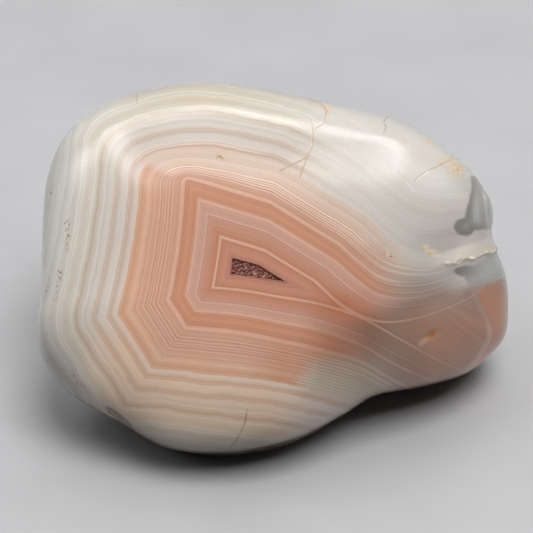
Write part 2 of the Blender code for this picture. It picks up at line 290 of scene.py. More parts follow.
# Curved sets: stations along x (first, last, count), and the height of some levels at each station.
BOTTOM_STATIONS = (-14.65, 21.35, 10)
BOTTOM_LEVELS = [0, 2.6, 4.4, 9.2, 16.5]
BOTTOM_HEIGHTS = [
    [-1.65, -1.8, -2, -2.35, -3.03, -3.75, -5.07, -7.25, -9.45, -11.15],
    [-4.15, -4.3, -4.5, -4.85, -5.6, -6.45, -7.9, -10.1, -11.75, -13.05],
    [-5.6, -5.9, -6.2, -6.6, -7.4, -8.3, -9.45, -11.75, -13.35, -14.65],
    [-9.95, -10.25, -10.7, -11.1, -11.65, -12.55, -13.65, -15.35, -16.85, -18.05],
    [-16.95, -17.35, -17.85, -18.25, -18.85, -19.55, -20.35, -21.35, -22.35, -23.35],
]
VALLEY_STATIONS = (3.35, 23.35, 6)
VALLEY_LEVELS = [0, 2.6, 4.4, 6.8, 9.2, 13]
VALLEY_HEIGHTS = [
    [-2.55, -4.05, -5.51, -5.1, -3.6, -1.35],
    [2, -0.35, -2.81, -3, -1.55, 0.45],
    [4, 1.65, -1.09, -1.6, -0.45, 1.25],
    [5.8, 4, 1.05, -0.15, 0.65, 2.05],
    [8.2, 6.2, 2.85, 0.95, 1.45, 2.85],
    [12.5, 10.3, 7.65, 5.15, 5.15, 6.15],
]
VALLEY_START = 6
VALLEY_START_SLOPE = 1.5
SMALLEST_GAP = 0.6
# Behind the stone's middle plane the bands close round the back.
BACK_PLACES = [0, 3, 14]
BACK_LEVELS = [0, 9, 20]


# The sets that each vector on the mesh holds.
BAND_VECTORS = {
    "bands_low": ("left", "low_left", "bottom"),
    "bands_top": ("top_a", "top_b", "top_c"),
    "bands_far": ("valley", "outer_a", "outer_b"),
}


def spread_map(value, places, levels):
    """Piecewise-straight map from distance to level, carried on straight past both ends."""
    places = np.array(places, dtype=float)
    levels = np.array(levels, dtype=float)
    first = (levels[1] - levels[0]) / (places[1] - places[0])
    last = (levels[-1] - levels[-2]) / (places[-1] - places[-2])
    below = np.minimum(value - places[0], 0) * first
    above = np.maximum(value - places[-1], 0) * last
    return np.interp(value, places, levels) + below + above


def smooth_curve(x, stations, values):
    """A curve through values at evenly spaced stations (first, last, count), straight past its ends."""
    first, last, count = stations
    step = (last - first) / (count - 1)
    place = (x - first) / step
    held = np.clip(place, 0, count - 1.0001)
    index = held.astype(int)
    part = held - index
    padded = np.array([2 * values[0] - values[1], *values, 2 * values[-1] - values[-2]])
    before = np.minimum(place, 0) * (values[1] - values[0])
    after = np.maximum(place - (count - 1), 0) * (values[-1] - values[-2])
    return catmull_rom(*(padded[index + k] for k in range(4)), part) + before + after


def stacked_level(x, y, stations, levels, heights, way):
    """Level between curves that lie one beyond another, upward (way 1) or downward (way -1)."""
    curves = [smooth_curve(x, stations, row) for row in heights]
    out = np.zeros(x.shape)
    for k in range(len(levels) - 1):
        gap = way * np.maximum(way * (curves[k + 1] - curves[k]), SMALLEST_GAP)
        level = levels[k] + (y - curves[k]) / gap * (levels[k + 1] - levels[k])
        past = (y - curves[k]) * way > 0
        out = np.where(past | (k == 0), level, out)
    return out


def left_level(x, y):
    (tilt_start, growth), (sag_start, fade) = LEFT_TILT_GROWTH, LEFT_SAG_FADE
    drop = LEFT_TOP - y
    tilt = LEFT_TILT + growth * np.maximum(0, -x - tilt_start)
    sag = LEFT_SAG * np.maximum(LEAST_SAG_SHARE, 1 - fade * np.maximum(0, -x - sag_start))
    return spread_map(-x - tilt * drop - sag * drop**2 - LEFT_EDGE, LEFT_PLACES, LEFT_LEVELS)


def band_levels(x, y):
    """Level of each set of bands at each place of the pattern, by the set's name."""
    sets = {name: spread_map(p * x + q * y, *rest) for name, (p, q, *rest) in STRAIGHT_SETS.items()}
    sets["left"] = left_level(x, y)
    sets["bottom"] = stacked_level(x, y, BOTTOM_STATIONS, BOTTOM_LEVELS, BOTTOM_HEIGHTS, -1)
    valley = stacked_level(x, y, VALLEY_STATIONS, VALLEY_LEVELS, VALLEY_HEIGHTS, 1)
    sets["valley"] = valley + VALLEY_START_SLOPE * np.maximum(0, VALLEY_START - x)
    return sets


# ---- patches on the face, in pattern coordinates
GREY_PATCHES = [
    [(20.35, 9.1), (21.15, 9.05), (24.5, 9.6), (24.9, 3.5), (22.4, 3.65), (20.85, 3.69), (20.55, 3.18)]
    + [(19.9, 3.05), (19, 3.2), (18.7, 3.9), (19, 4.6), (19.8, 4.92), (20.2, 6.65), (20.5, 8.28)],
    [(18.64, -0.49), (18.99, -0.06), (19.85, 0.11), (20.85, 0.11), (21.71, 0.65), (22.28, 1.25)]
    + [(23.14, 1.54), (26, 1.7), (26, -0.6), (23.85, -1.1), (22.28, -1.71), (21.28, -2.64)]
    + [(20.56, -2.75), (20.21, -1.92), (19.78, -1.09), (18.99, -0.85)],
]
# Low on the right the stain gives way to grey beyond this front.
STAIN_FRONT = [
    (2.2, -22), (2.7, -13), (3.5, -10.8), (4.8, -9.3), (6.5, -8.8), (9.4, -9.6), (12, -11), (16, -13),
]
ORANGE_EDGE = [
    (20.9, -2.5), (21.42, -3.49), (21.85, -4.35), (22.28, -5.21), (22.6, -6.35), (22.55, -7.35),
    (22, -8.35), (21.2, -9.6), (19.9, -10.9), (18.4, -11.9), (27, -15), (27, -0.3), (23.85, -0.8),
    (22.28, -1.5),
]
# Blots of rusty stain: (x, y, reach across, reach up, strength).
TAN_BLOTS = [
    (5.95, 16.05, 1.2, 0.5, 1), (4.4, 16.5, 1, 0.45, 0.7), (6.15, 15.5, 0.4, 0.9, 0.7),
    (12, 14.9, 0.9, 0.4, 0.5), (15.4, 13.75, 1.1, 0.5, 0.65), (16.6, 12.5, 1.3, 0.5, 0.9),
    (18.2, 10.7, 1.3, 0.55, 0.85), (19.1, 9.8, 1.2, 1, 1), (19.6, 7.1, 0.35, 0.45, 0.5),
    (21.95, 7.05, 0.35, 0.5, 1), (15.85, 1.95, 0.5, 0.35, 0.95), (16.4, 1.45, 0.7, 0.4, 1),
    (17.1, 1.05, 0.8, 0.2, 0.7), (12.15, 1.2, 0.35, 0.3, 0.9),
]
# Chains of brown specks in the pale bands.
SPECK_PATHS = [
    [(-19.95, 4.45), (-19.95, 1.85)],
    [(-22.45, 1.5), (-22.2, 0.4), (-22.5, -0.2)],
    [(-20.7, -0.2), (-20.8, -1.95), (-21.15, -3.2)],
    [(-21.8, -1.4), (-22, -2.3), (-22.5, -3.5)],
    [(-21.3, 8.2), (-21.65, 7.2)],
    [(-19.6, -10.4), (-18.9, -11.6), (-18.3, -12.1)],
    [(-4.65, 10.9), (-4.6, 10.9)],
    [(12, 1.2), (12.4, 1)],
]
PIT_RIM = (15.6, -7.6)


# ---- meshes
# How far from a path each pass of division reaches.
POCKET_REACHES = [0.9, 0.5, 0.3, 0.18]
LIP_REACHES = [2.4, 1.4]
HAIR_REACHES = [0.5, 0.3, 0.18]
PIT_REACHES = [1.2, 0.8]
PIT_HALF_PATH = 0.6
LOWEST_DIVIDED = -0.1

# What the material reads at a vertex far from a mark, and how far behind the middle plane each kind reaches.
FAR = 5
GREY_BEHIND = 3.5
ORANGE_BEHIND = 6
PATCH_SLOPE = 0.4
LIP_BEHIND = 4
SPECKS_BEHIND = 1
LEAST_FACING = 0.1
# Ranges over which some marks come in.
RUST_AHEAD = (-1.5, 1)
RUST_FACING = (0.1, 0.35)
NOSE_X = (11, 15.5)
NOSE_AHEAD = (-8, -2)
CALM_X = (2, 8)
CALM_Y = (1.5, 5)
CALM_AHEAD = (-6, 1)
CALM_TURN = 8
CALM_SLOPE = 0.5


def zone_passes():
    """Paths to divide the mesh along, each with how far from the path each pass reaches."""
    zones = [(POCKET_CORNERS + POCKET_CORNERS[:1], POCKET_REACHES), (LIP_CREST, LIP_REACHES)]
    zones += [(path, HAIR_REACHES) for path in CRACKS + [WHITE_HAIR]]
    zones += [([(u - PIT_HALF_PATH, v), (u + PIT_HALF_PATH, v)], PIT_REACHES) for u, v, *_ in PITS]
    return zones


def fine_sphere():
    """A unit sphere of triangles, divided further along the stone's small features."""
    bm = bmesh.new()
    bmesh.ops.create_icosphere(bm, subdivisions=SPHERE_DIVISIONS, radius=1)
    for turn in range(len(POCKET_REACHES)):
        bm.verts.ensure_lookup_table()
        heads = np.array([vert.co[:] for vert in bm.verts])
        places = stone_surface(heads, fine=False)
        near = np.zeros(len(heads), dtype=bool)
        for path, reaches in zone_passes():
            if turn < len(reaches):
                near |= distance_to_path(places[:, 0], places[:, 1], path)[0] < reaches[turn]
        near &= heads[:, 2] > LOWEST_DIVIDED
        edges = [e for e in bm.edges if near[e.verts[0].index] or near[e.verts[1].index]]
        bmesh.ops.subdivide_edges(bm, edges=edges, cuts=1)
        bmesh.ops.triangulate(bm, faces=[f for f in bm.faces if len(f.verts) > 3])
        for vert in bm.verts:
            vert.co.normalize()
    return bm


def set_vectors(mesh, name, columns):
    """A vector for each vertex."""
    data = mesh.attributes.new(name, "FLOAT_VECTOR", "POINT")
    data.data.foreach_set("vector", np.stack(columns, axis=1).astype(np.float32).ravel())


def set_readings(mesh, places):
    """Gives each vertex the numbers that the stone's material reads."""
    u, v, w = places.T
    spread = 1 / (1 - w * BAND_SPREAD)
    x, y = u * spread, v * spread
    ahead = w - bend_back(u, v)
    normals = np.empty(len(places) * 3, dtype=np.float32)
    mesh.vertices.foreach_get("normal", normals)
    facing = normals.reshape(-1, 3) @ np.array([0, -math.cos(FACE_LEAN), math.sin(FACE_LEAN)])
    facing = np.clip(facing, LEAST_FACING, 1)

    def in_front(value, far, behind=0):
        return np.where(ahead > -behind, value, far)

    sets = band_levels(x, y)
    for vector, names in BAND_VECTORS.items():
        set_vectors(mesh, vector, [sets[name] for name in names])
    back = spread_map(-ahead, BACK_PLACES, BACK_LEVELS)
    cracks = in_front(np.minimum(nearest(u, v, CRACKS), FAR), FAR)
    set_vectors(mesh, "marks", [back, cracks, in_front(distance_inside(u, v, POCKET_CORNERS), -FAR)])

    grey = np.max([distance_inside(x, y, patch) for patch in GREY_PATCHES], axis=0)
    grey = np.minimum(grey, PATCH_SLOPE * (ahead + GREY_BEHIND))
    orange = np.minimum(distance_inside(x, y, ORANGE_EDGE), PATCH_SLOPE * (ahead + ORANGE_BEHIND))
    lip = in_front(lip_height_above(u, v)[1], -FAR, LIP_BEHIND)
    set_vectors(mesh, "patches", [grey, orange, lip])
    set_vectors(mesh, "pattern_place", [x, y, ahead])

    rust = np.zeros(len(places))
    for blot_x, blot_y, reach_x, reach_y, strength in TAN_BLOTS:
        away = ((x - blot_x) / reach_x) ** 2 + ((y - blot_y) / reach_y) ** 2
        rust = np.maximum(rust, strength * np.exp(-away))
    rust *= smooth_step(*RUST_AHEAD, ahead) * smooth_step(*RUST_FACING, facing)
    specks = np.minimum(nearest(x, y, SPECK_PATHS), FAR) / facing
    ochre = np.where(u > 0, -pit_relief(u, v), pit_relief(u, v))
    specks, ochre = in_front(specks, FAR, SPECKS_BEHIND), in_front(ochre, 0, SPECKS_BEHIND)
    set_vectors(mesh, "blemishes", [rust, specks, ochre])
    from_rim_x, from_rim_y = x - PIT_RIM[0], y - PIT_RIM[1]
    rim = np.hypot((from_rim_x + from_rim_y) * 0.5, from_rim_y - from_rim_x)
    hair = in_front(nearest(x, y, [WHITE_HAIR]), FAR)
    set_vectors(mesh, "pale_marks", [hair, in_front(rim, FAR), facing])

    _, front_side = distance_to_path(x, y, STAIN_FRONT)
    nose = smooth_step(*NOSE_X, x) * smooth_step(*NOSE_AHEAD, ahead)
    calm = smooth_step(*CALM_X, x) * smooth_step(*CALM_Y, y + CALM_SLOPE * np.maximum(x - CALM_TURN, 0))
    set_vectors(mesh, "regions", [front_side, nose, calm * smooth_step(*CALM_AHEAD, ahead)])


def add_object(data):
    made = bpy.data.objects.new(data.name, data)
    bpy.context.scene.collection.objects.link(made)
    return made


def make_stone():
    bm = fine_sphere()
    places = stone_surface(np.array([vert.co[:] for vert in bm.verts]))
    mesh = bpy.data.meshes.new("banded_stone")
    bm.to_mesh(mesh)
    bm.free()
    world = to_world(places)
    world[:, 2] = np.maximum(world[:, 2], 0)
    mesh.vertices.foreach_set("co", world.astype(np.float32).ravel())
    mesh.update()
    mesh.shade_smooth()
    set_readings(mesh, places)
    return add_object(mesh)


# ---- materials
def tone(red, green, blue):
    """Linear colour from the 0 to 255 values that a screen shows."""
    parts = np.array([red, green, blue]) / 255
    linear = np.where(parts <= 0.04045, parts / 12.92, ((parts + 0.055) / 1.055) ** 2.4)
    return (*linear.tolist(), 1)


def put(socket, value):
    """Sets a socket to a plain value, or links it to what a Value stands for."""
    if isinstance(value, Value):
        socket.id_data.links.new(value.output, socket)
    else:
        socket.default_value = value


def add_node(tree, kind, inputs=(), **settings):
    node = tree.nodes.new(kind)
    for key, value in settings.items():
        setattr(node, key, value)
    for key, value in dict(inputs).items():
        put(node.inputs[key], value)
    return node


def mixed(tree, share, first, second, way="MIX"):
    inputs = {0: share, 6: first, 7: second}
    return Value(add_node(tree, "ShaderNodeMix", inputs, data_type="RGBA", blend_type=way).outputs[2])


class Value:
    """A number, place or colour that a node tree works out at each point. Sums and calls add nodes."""

    def __init__(self, output):
        self.output = output
        self.tree = output.id_data

    def fed(self, kind, inputs, **settings):
        """What a new node makes of these inputs."""
        return Value(add_node(self.tree, kind, inputs, **settings).outputs[0])

    def math(self, operation, *values):
        return self.fed("ShaderNodeMath", dict(enumerate(values)), operation=operation)

    def __add__(self, other):
        return self.math("ADD", self, other)

    def __sub__(self, other):
        return self.math("SUBTRACT", self, other)

    def __mul__(self, other):
        return self.math("MULTIPLY", self, other)

    def __neg__(self):
        return self * -1

    def rest(self):
        """What is left of 1."""
        return self.math("SUBTRACT", 1, self)

    def gap(self, other):
        return self.math("ABSOLUTE", self - other)

    def most(self, other):
        return self.math("MAXIMUM", self, other)

    def smooth_most(self, other, reach):
        """The larger of two values, rounded off where they come within reach of each other."""
        near = self.math("MAXIMUM", self.math("SUBTRACT", reach, self.gap(other)), 0)
        lift = self.math("DIVIDE", near * near * 0.25, self.math("MAXIMUM", reach, 1e-4))
        return self.most(other) + lift

    def spread(self, low, high, start=0, end=1, kind="SMOOTHSTEP"):
        """Map low..high to start..end."""
        inputs = {0: self, 1: low, 2: high, 3: start, 4: end}
        return self.fed("ShaderNodeMapRange", inputs, interpolation_type=kind)

    def straight(self, low, high, start, end):
        return self.spread(low, high, start, end, "LINEAR")

    def noise(self, scale, detail=2, roughness=0.5):
        """Noise 0..1 over a place, or along a single number."""
        single = self.output.type == "VALUE"
        place, dimensions = ("W", "1D") if single else ("Vector", "3D")
        inputs = {place: self, "Scale": scale, "Detail": detail, "Roughness": roughness}
        return self.fed("ShaderNodeTexNoise", inputs, noise_dimensions=dimensions)

    def swing(self, reach):
        """Noise 0..1 turned into -reach..reach, about."""
        return (self - 0.5) * (2 * reach)

    def split(self):
        return [Value(part) for part in add_node(self.tree, "ShaderNodeSeparateXYZ", {0: self}).outputs]

    def ramp(self, stops):
        """Colour for this number, from (place, red, green, blue) stops that may lie anywhere."""
        low, high = stops[0][0], stops[-1][0]
        node = add_node(self.tree, "ShaderNodeValToRGB", {0: self.straight(low, high, 0, 1)})
        elements = node.color_ramp.elements
        while len(elements) < len(stops):
            elements.new(1)
        for element, (place, *colour) in zip(elements, stops):
            element.position = (place - low) / (high - low)
            element.color = tone(*colour)
        return Value(node.outputs[0])

    def between(self, first, second):
        """The first colour where this number is 0, the second where it is 1."""
        return mixed(self.tree, self, first, second)

    def grey(self):
        return self.fed("ShaderNodeCombineXYZ", {0: self, 1: self, 2: self})

    def blend(self, share, other, way="MIX"):
        return mixed(self.tree, share, self, other, way)

    def scaled(self, change):
        """This colour, lighter or darker by a factor about 1."""
        return self.blend(1, change.grey(), "MULTIPLY")


class Finish:
    """A material: its surface's inputs, the place of each point, the numbers that the mesh carries, and the
    colour so far."""

    def __init__(self, name):
        self.material = bpy.data.materials.new(name)
        self.material.use_nodes = True
        self.tree = self.material.node_tree
        self.surface = self.tree.nodes["Principled BSDF"].inputs
        self.place = Value(add_node(self.tree, "ShaderNodeTexCoord").outputs["Object"])

    def parts(self, attribute):
        """The three numbers of a vector attribute."""
        node = add_node(self.tree, "ShaderNodeAttribute", attribute_name=attribute)
        return Value(node.outputs["Vector"]).split()

    def paint(self, share, other, way="MIX"):
        """Mixes another colour into the one so far."""
        self.colour = mixed(self.tree, share, self.colour, other, way)

    def shade(self, change):
        self.colour = self.colour.scaled(change)


# Colour of the iron-stained bands by level (level, red, green, blue), as they look in plain light.
STAINED = [
    (-1.8, 160, 104, 88), (-1.35, 172, 119, 101), (-0.9, 181, 130, 109), (-0.3, 176, 122, 99),
    (0.35, 178, 124, 99), (1.1, 181, 134, 115), (1.3, 182, 136, 118), (1.7, 188, 148, 132),
    (2, 185, 143, 127), (2.4, 187, 147, 131), (2.8, 183, 131, 105), (3.1, 184, 131, 104),
    (3.45, 189, 137, 112), (3.9, 183, 130, 105), (4.15, 182, 130, 105), (4.6, 191, 148, 125),
    (5.3, 187, 144, 121), (5.5, 184, 139, 115), (6.9, 185, 141, 117), (7.3, 198, 155, 131),
    (7.65, 191, 149, 125), (8.05, 203, 164, 140), (8.4, 199, 157, 131), (8.7, 188, 144, 117),
    (9.2, 198, 157, 131), (9.4, 202, 168, 146),
]
# Colour of the unstained bands by level.
PALE = [
    (-1.6, 138, 104, 84), (0.5, 139, 109, 92), (2.5, 146, 120, 107), (3.2, 150, 128, 115),
    (4.3, 156, 140, 127), (5.4, 178, 166, 151), (7, 186, 175, 161), (8.6, 192, 182, 169),
    (9.3, 197, 180, 170), (9.55, 195, 179, 169), (10, 180, 157, 141), (10.45, 195, 184, 176),
    (11, 188, 178, 169), (11.4, 176, 158, 144), (12, 192, 183, 175), (12.3, 182, 174, 165),
    (12.65, 190, 181, 174), (13.25, 172, 157, 142), (13.7, 193, 186, 176), (14.4, 185, 175, 162),
    (15.1, 194, 191, 183), (15.6, 183, 178, 168), (16.1, 197, 193, 186), (16.5, 183, 180, 173),
    (17, 195, 192, 185), (17.6, 188, 185, 176), (18.6, 178, 176, 166), (20.5, 190, 187, 178),
]
# Colour of the washed-out bands above the core by level.
WASHED = [
    (4.3, 190, 144, 121), (5, 194, 153, 131), (5.9, 195, 158, 138), (6.6, 197, 163, 144),
    (7.3, 203, 176, 159), (8, 205, 182, 166), (8.6, 197, 174, 159), (9.2, 200, 179, 164),
    (9.7, 198, 176, 160), (9.92, 182, 155, 136), (10.1, 198, 181, 168), (10.6, 206, 197, 187),
]
# Light lines by level: (level, half width, strength).
LIGHT_LINES = [
    (0, 0.13, 0.75), (1.6, 0.08, 0.25), (2.55, 0.15, 0.75), (4.4, 0.2, 0.8), (5.02, 0.07, 0.2),
    (5.48, 0.1, 0.75), (5.85, 0.1, 0.8), (6.17, 0.1, 0.75), (6.47, 0.09, 0.75), (6.82, 0.11, 0.8),
    (7.25, 0.06, 0.35), (7.75, 0.06, 0.3), (8.1, 0.07, 0.3),
]

# Broad tints in the order they are laid on: what each multiplies the three channels by, and the ranges it
# comes in over. A range is "reading from to", which brings the share from 0 to 1, or "reading from to share
# share". A reading alone is itself the share.
TINTS = {
    "warm_bands_below": (
        (1.12, 0.93, 0.77),
        "y -3.5 -9, level 9.3 10.2 0.35 1, x -20 -14.5 0.2 1, x 6 0, level 17.5 13 0.5 1, bare",
    ),
    "ember_end_of_stain": ((0.88, 0.78, 0.7), "stain, x -3 2, y -6.5 -9"),
    "deep_dip": ((0.94, 0.81, 0.72), "x 3 7.5, x 13 9.5, y -1.5 -4, y -10 -7, level 9 6.5"),
    # Painted shade: darkens the low rim where it turns away from the front.
    "painted_shade_rim_below": ((0.44, 0.44, 0.425), "x 5 -2, y -5 -10, facing 0.8 0.3"),
    # Painted shade: darkens the hollow between the upper right lobe and the nose.
    "painted_shade_gully": ((0.86,) * 3, "x 13 16, x 20 18.5, y -3 -1, y 4 2"),
    # Painted light: brightens the left flank.
    "painted_light_left_flank": ((1.22,) * 3, "x -11 -21, y -7 -1"),
    "shaded_lower_left": ((0.78, 0.79, 0.8), "x -16.5 -20, y -4.5 -9.5"),
    "cool_beyond_front": ((0.75, 0.71, 0.66), "front 1 -1.6, level 4 5, x 15 11, level 8.5 11.5 1 0.25"),
    "dusk_low_right": ((0.8, 0.74, 0.69), "x 2.5 7, y -3.6 -6.8, x 13.5 10, y -12 -8.5 0.15 1"),
    "slope_above_core": ((0.93, 0.91, 0.9), "x -2 4, level 3.8 5.2, level 9.5 7.5, y -3.5 0"),
    "dim_round_nose": ((0.84, 0.85, 0.87), "nose, level 7 4.5, nose_share 1 0"),
    # Painted shade: darkens the stone close to the floor.
    "painted_shade_underside": ((0.42, 0.41, 0.39), "height 0.01 0.002 0 0.95"),
    # Painted light: brightens the top, the upper right and the zone below the highlight.
    "painted_light_shoulders": ((1.12, 1.12, 1.11), "shoulders"),
    "cream_top": ((1, 0.94, 0.86), "cream, ahead -4 0"),
    "tan_upper_right": (
        (1.06, 0.93, 0.8),
        "ahead 3.5 0.5, ahead -8 -4, x 3 8, y 6 8, mottle 0.35 0.6 0.3 1",
    ),
}
# The painted light on the shoulders falls inside any of these.
SHOULDERS = ["y 11 16, ahead -3 1", "x 11 14.5, y 7.5 10", "x 1 4, x 14 10, y 13 11, along_top 9.5 11"]

STAIN_END = (9.12, 9.34)
COMB_SPACING = 0.36
COMB_STRENGTH = 0.13
FAN_MIDDLE = (14.5, -2)
QUARTZ_IOR = 1.54


def share_of(at, ranges):
    """How far a point lies inside all of the ranges."""
    parts = []
    for name, *span in map(str.split, ranges.split(",")):
        reading = getattr(at, name)
        parts.append(reading.spread(*map(float, span)) if span else reading)
    return math.prod(parts[1:], start=parts[0])


def joined_bands(at):
    """The level, with crisp corners near the core and rounder ones farther out, and where top sets rule."""
    left, low_left, bottom = at.parts("bands_low")
    top_a, top_b, top_c = at.parts("bands_top")
    top = top_a.most(top_b).most(top_c)
    top = -(-top).smooth_most(-at.valley, 0.5)
    reach = top.most(left).straight(3, 8, 0, 2.5)
    top = top.smooth_most(at.outer_a, reach).smooth_most(at.outer_b, reach)
    level = left.smooth_most(top, reach)
    upper = (top - left).spread(-0.6, 1)
    reach = level.straight(10.5, 17, 0, 2.5)
    level = level.smooth_most(low_left, reach).smooth_most(bottom, reach)
    return level.smooth_most(at.back, 1), upper


def find_level(at):
    """Sets the level, which wanders more the farther out it lies."""
    level, upper = joined_bands(at)
    wander = at.place.noise(130).swing(1)
    level = level + wander * (level.straight(2, 14, 0.03, 0.2) + at.ahead.spread(1, -6, 0, 1.1))
    at.wiggle = at.place.noise(420, 3, 0.6).swing(1)
    level = level + at.wiggle * level.straight(3, 12, 0.03, 0.24)
    low_wave = at.y.spread(-6, -11, 0, 0.3) * level.spread(9.4, 10.6)
    at.level = level + at.place.noise(260, 3, 0.6).swing(1) * low_wave
    at.upper = upper * at.y.spread(0, 3)


def find_stain(at):
    """The stain stops at the last pink band, and gives way across a curved front low on the right."""
    x, level = at.x, at.level
    at.front = at.low_front + at.place.noise(180, 3).swing(0.6) + level.noise(2.6).swing(1.5)
    stain = level.spread(*STAIN_END, 1, 0) * at.front.spread(-1.2, 1)
    stain = stain * (x + at.y.spread(-3, -6.5, 0, 4)).spread(9.5, 15.5, 1, 0)
    at.stain = stain.most(at.upper * level.spread(10, 10.6, 1, 0) * x.spread(1, -2))
    at.bare = at.stain.rest()
    at.wash = level.spread(4.3, 7.4, 0.1, 1) * at.upper


def add_bands(at):
    pale = at.level.ramp(PALE).blend(at.calm * 0.72, tone(198, 193, 187))
    stained = at.level.ramp(STAINED).blend(at.wash, at.level.ramp(WASHED))
    nose_tone = at.place.noise(160, 3).between(tone(151, 112, 90), tone(164, 119, 95))
    nose_tone = nose_tone.blend(at.y.spread(-6.5, -2.5), tone(139, 116, 104))
    nose_tone = nose_tone.blend(at.x.spread(17, 14.5, 0, 0.6), tone(132, 102, 86))
    at.colour = pale.blend(at.stain, stained).blend(at.nose_share, nose_tone)


def add_lines(at):
    share = None
    for place, half_width, strength in LIGHT_LINES:
        line = at.level.gap(place).spread(half_width * 0.35, half_width * 1.25, strength, 0)
        share = line if share is None else share.most(line)
    share = share * at.bare.straight(0, 1, 1, 0.8) * at.nose.straight(0, 1, 1, 0.5)
    line_tone = at.stain.between(tone(203, 195, 185), tone(203, 164, 145))
    line_tone = line_tone.blend(at.wash, tone(234, 214, 199)).blend(at.nose, tone(178, 156, 144))
    low_right = at.x.spread(3, 6) * at.y.spread(-1, -4)
    at.paint(share, line_tone.blend(low_right, tone(190, 158, 142)))


def add_comb(at):
    """Close regular lines across the grey front low on the right."""
    turns = (at.level + at.wiggle * 0.03) * (2 * math.pi / COMB_SPACING)
    ranges = "level 4.6 5.2, level 9.4 8.6, front 1.5 -0.5, x 13.5 11"
    at.shade(turns.math("SINE", turns) * share_of(at, ranges) * COMB_STRENGTH + 1)


def add_threads(at):
    """Light threads through the low dip on the right, and light streaks that fan out over the nose."""
    thread = at.level.noise(2.4).spread(0.52, 0.62)
    thread = thread * share_of(at, "level 2.8 4, level 13 9.5, x 4 9 0 0.22, y -4.2 -2.6")
    thread = thread * (share_of(at, "x 9 14, level 8.5 6") + 1)
    at.paint(thread, tone(216, 207, 197))
    turn = at.y.math("ARCTAN2", at.y - FAN_MIDDLE[1], at.x - FAN_MIDDLE[0])
    turn = turn + at.place.noise(300).swing(0.04)
    fan = turn.noise(7, 3, 0.55).spread(0.4, 0.65, -0.04, 0.09)
    at.shade(fan * at.nose_share * at.x.spread(16.5, 19.5) + 1)


def add_tints(at):
    at.along_top = at.y + at.x * 0.25
    # Where painted light brightens the shoulders.
    first, second, third = [share_of(at, ranges) for ranges in SHOULDERS]
    at.shoulders = first.most(second).most(third)
    at.cream = at.y.spread(15.6, 17.2) + at.place.noise(200, 3).swing(0.35)
    at.mottle = at.place.noise(350, 4, 0.6)
    for factor, ranges in TINTS.values():
        at.paint(share_of(at, ranges), (*factor, 1), "MULTIPLY")


def add_fine_bands(at):
    """Banding too fine to draw one by one, with faint clouds and grit."""
    fine = (at.level + 3.7).noise(6.5, 4, 0.72)
    strength = at.level.spread(4, 10, 0.15, 0.13) * at.calm.spread(0, 1, 1, 0.5)
    strength = strength * at.nose_share.spread(0, 1, 1, 0.45)
    change = fine.straight(0.3, 0.7, -1, 1) * strength + 1
    change = change + at.place.noise(90, 3).swing(0.04) + at.place.noise(3000).swing(0.05)
    at.shade(change)
    at.fine = fine


def add_patches(at):
    """The orange edge of the nose, grey chalcedony, and the cream crust along the lip."""
    x, y, place = at.x, at.y, at.place
    grey, orange, lip = at.parts("patches")
    ragged = place.noise(900, 3).swing(0.22)
    rim_band = orange.spread(-0.75, -0.2) * orange.spread(0.05, -0.15) * y.spread(-4.5, -6.5, 0.15, 0.55)
    at.paint(rim_band, tone(196, 162, 142))
    orange_share = (orange + ragged).spread(-0.15, 0.3) * y.spread(-0.8, -4, 0.35, 1)
    orange_tone = place.noise(300, 3).between(tone(166, 110, 78), tone(178, 124, 94))
    at.paint(orange_share, orange_tone)

    fade = y.spread(-0.3, -2.6, 0, 0.75) * y.spread(2.5, 1.5)
    at.grey_share = (grey + ragged).spread(-0.12, 0.2) * fade.rest()
    streak = (x + y * 0.12).noise(1.6, 3, 0.6).spread(0.35, 0.65)
    shade = grey.spread(0, 1.1, 0.8, 0) + x.spread(21.5, 19.5, 0, 0.5)
    grey_tone = streak.between(tone(160, 158, 152), tone(178, 177, 172))
    grey_tone = grey_tone.blend(shade * y.spread(1.5, 2.5), tone(134, 129, 120))
    low_grey = x.spread(19, 22.5).between(tone(106, 103, 99), tone(162, 161, 158))
    low_grey = low_grey.scaled(at.valley.noise(4, 3, 0.6).spread(0.35, 0.65, 0.88, 1.08))
    at.paint(at.grey_share, grey_tone.blend(y.spread(2.5, 1.5), low_grey))

    edge = lip + place.noise(420, 4, 0.6).swing(0.16)
    reach = x.spread(16.5, 20)
    crust = edge.spread(-0.1, 0.04) * edge.spread(1.5, 0.3, 0, 0.7)
    at.paint(crust * reach, tone(192, 180, 164))
    torn = edge.spread(-0.14, -0.02) * edge.spread(0.24, 0.06)
    bleach = place.noise(700, 3).spread(0.35, 0.5)
    torn_tone = bleach.between(tone(204, 178, 146), tone(236, 226, 212))
    at.paint(torn * reach, torn_tone)


